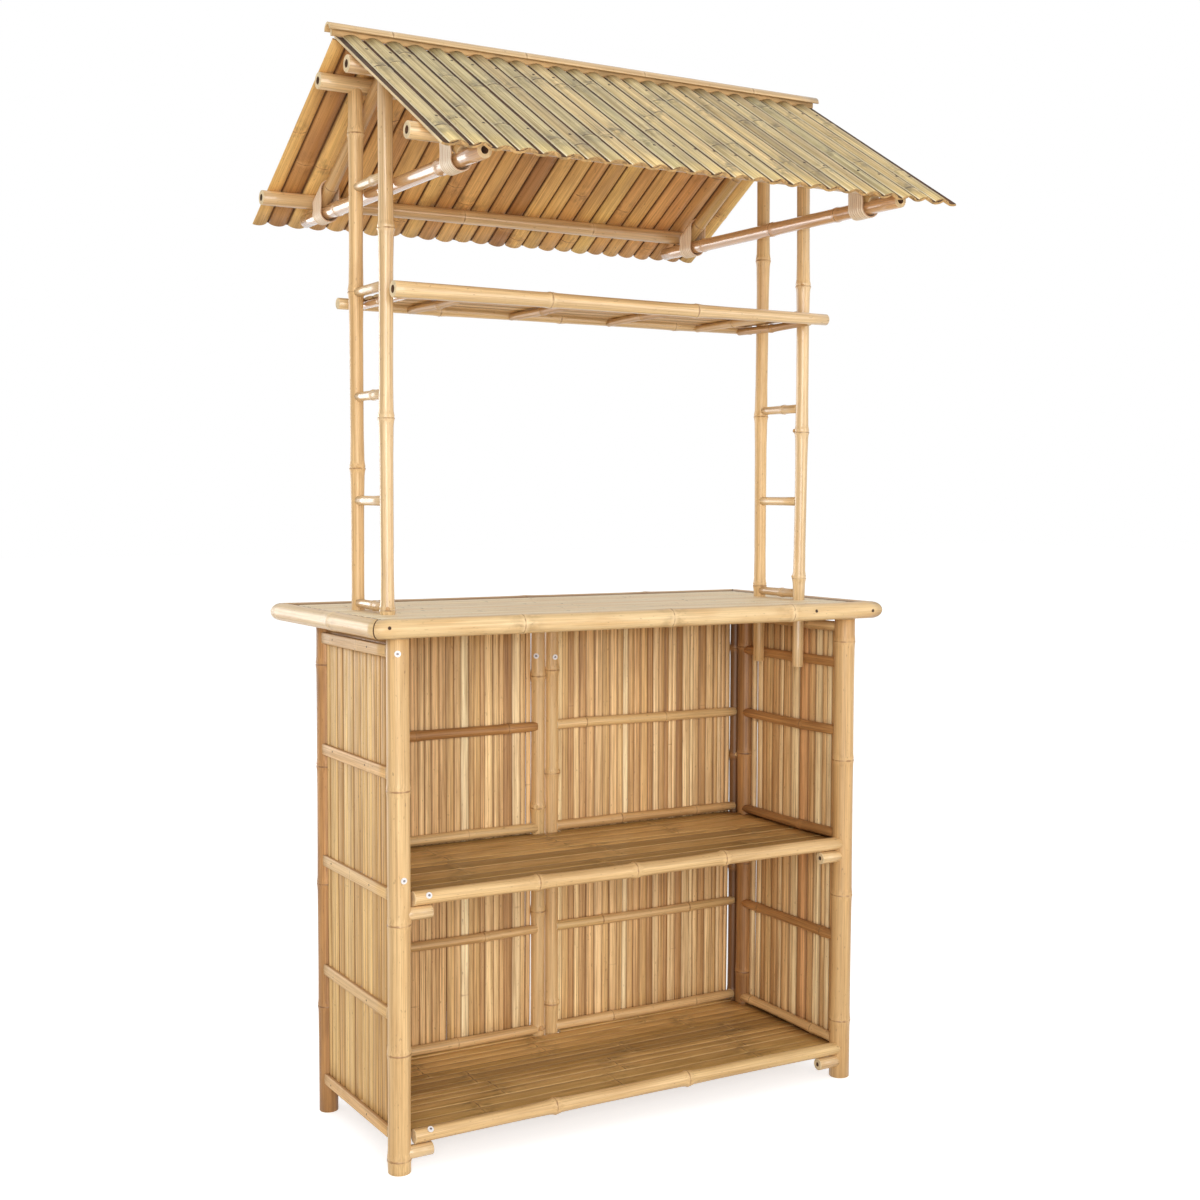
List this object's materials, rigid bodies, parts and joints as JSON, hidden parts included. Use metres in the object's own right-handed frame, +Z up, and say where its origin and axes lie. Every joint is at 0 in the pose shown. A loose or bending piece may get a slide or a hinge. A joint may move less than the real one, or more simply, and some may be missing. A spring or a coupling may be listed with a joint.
{
  "type": "tiki bar hut",
  "caption": "Free-standing bamboo bar hut: shelved cabinet with slatted counter, ladder frames with a hanging shelf, and a gabled split-culm roof.",
  "frame": {"origin": "on the floor, under the middle of the ridge and of the counter's length", "axes": "+X along the bar to the right as the keeper sees it, -Y the keeper's open side, +Y the guests' side, +Z up"},
  "size_m": [1.1888, 0.9768, 2.1683],
  "materials": {
    "straw_culm": "satin natural bamboo culm",
    "pale_culm": "satin pale bamboo culm",
    "upright_slats": "matt split bamboo slats of varied tone",
    "shelf_slats": "matt darker bamboo slats",
    "roof_culm": "weathered grey-green split bamboo",
    "cane": "matt peeled cane"
  },
  "bodies": {
    "root": {"post_front_left": "straw_culm", "post_rear_left": "straw_culm", "post_back_end_left": "straw_culm", "post_back_middle_left": "straw_culm", "infill_left": "upright_slats", "infill_back_left": "upright_slats", "post_front_right": "straw_culm", "post_rear_right": "straw_culm", "post_back_end_right": "straw_culm", "post_back_middle_right": "straw_culm", "infill_right": "upright_slats", "infill_back_right": "upright_slats", "counter_edge_front": "pale_culm", "counter_edge_back": "pale_culm", "counter_edge_left": "pale_culm", "counter_edge_right": "pale_culm", "counter_board": "pale_culm", "shelf_pole_lower": "straw_culm", "shelf_board_lower": "shelf_slats", "shelf_pole_upper": "straw_culm", "shelf_board_upper": "shelf_slats", "ladder_pole_front_left": "straw_culm", "ladder_pole_back_left": "straw_culm", "rung_left_1": "straw_culm", "rung_left_2": "straw_culm", "rung_left_3": "straw_culm", "rung_left_4": "straw_culm", "rung_left_5": "straw_culm", "ladder_pole_front_right": "straw_culm", "ladder_pole_back_right": "straw_culm", "rung_right_1": "straw_culm", "rung_right_2": "straw_culm", "rung_right_3": "straw_culm", "rung_right_4": "straw_culm", "rung_right_5": "straw_culm", "hanging_pole_front": "straw_culm", "hanging_pole_back": "straw_culm", "hanging_rack": "straw_culm", "hanging_bearer_left": "straw_culm", "hanging_bearer_right": "straw_culm", "roof_slope_front": "roof_culm", "roof_slope_back": "roof_culm", "ridge_cap": "roof_culm", "purlin_upper_front": "pale_culm", "purlin_upper_back": "pale_culm", "purlin_lower_front": "pale_culm", "purlin_lower_back": "pale_culm", "tie_left": "straw_culm", "rafter_front_left": "straw_culm", "lashing_front_left": "cane", "rafter_back_left": "straw_culm", "lashing_back_left": "cane", "tie_right": "straw_culm", "rafter_front_right": "straw_culm", "lashing_front_right": "cane", "rafter_back_right": "straw_culm", "lashing_back_right": "cane"}
  },
  "joints": []
}
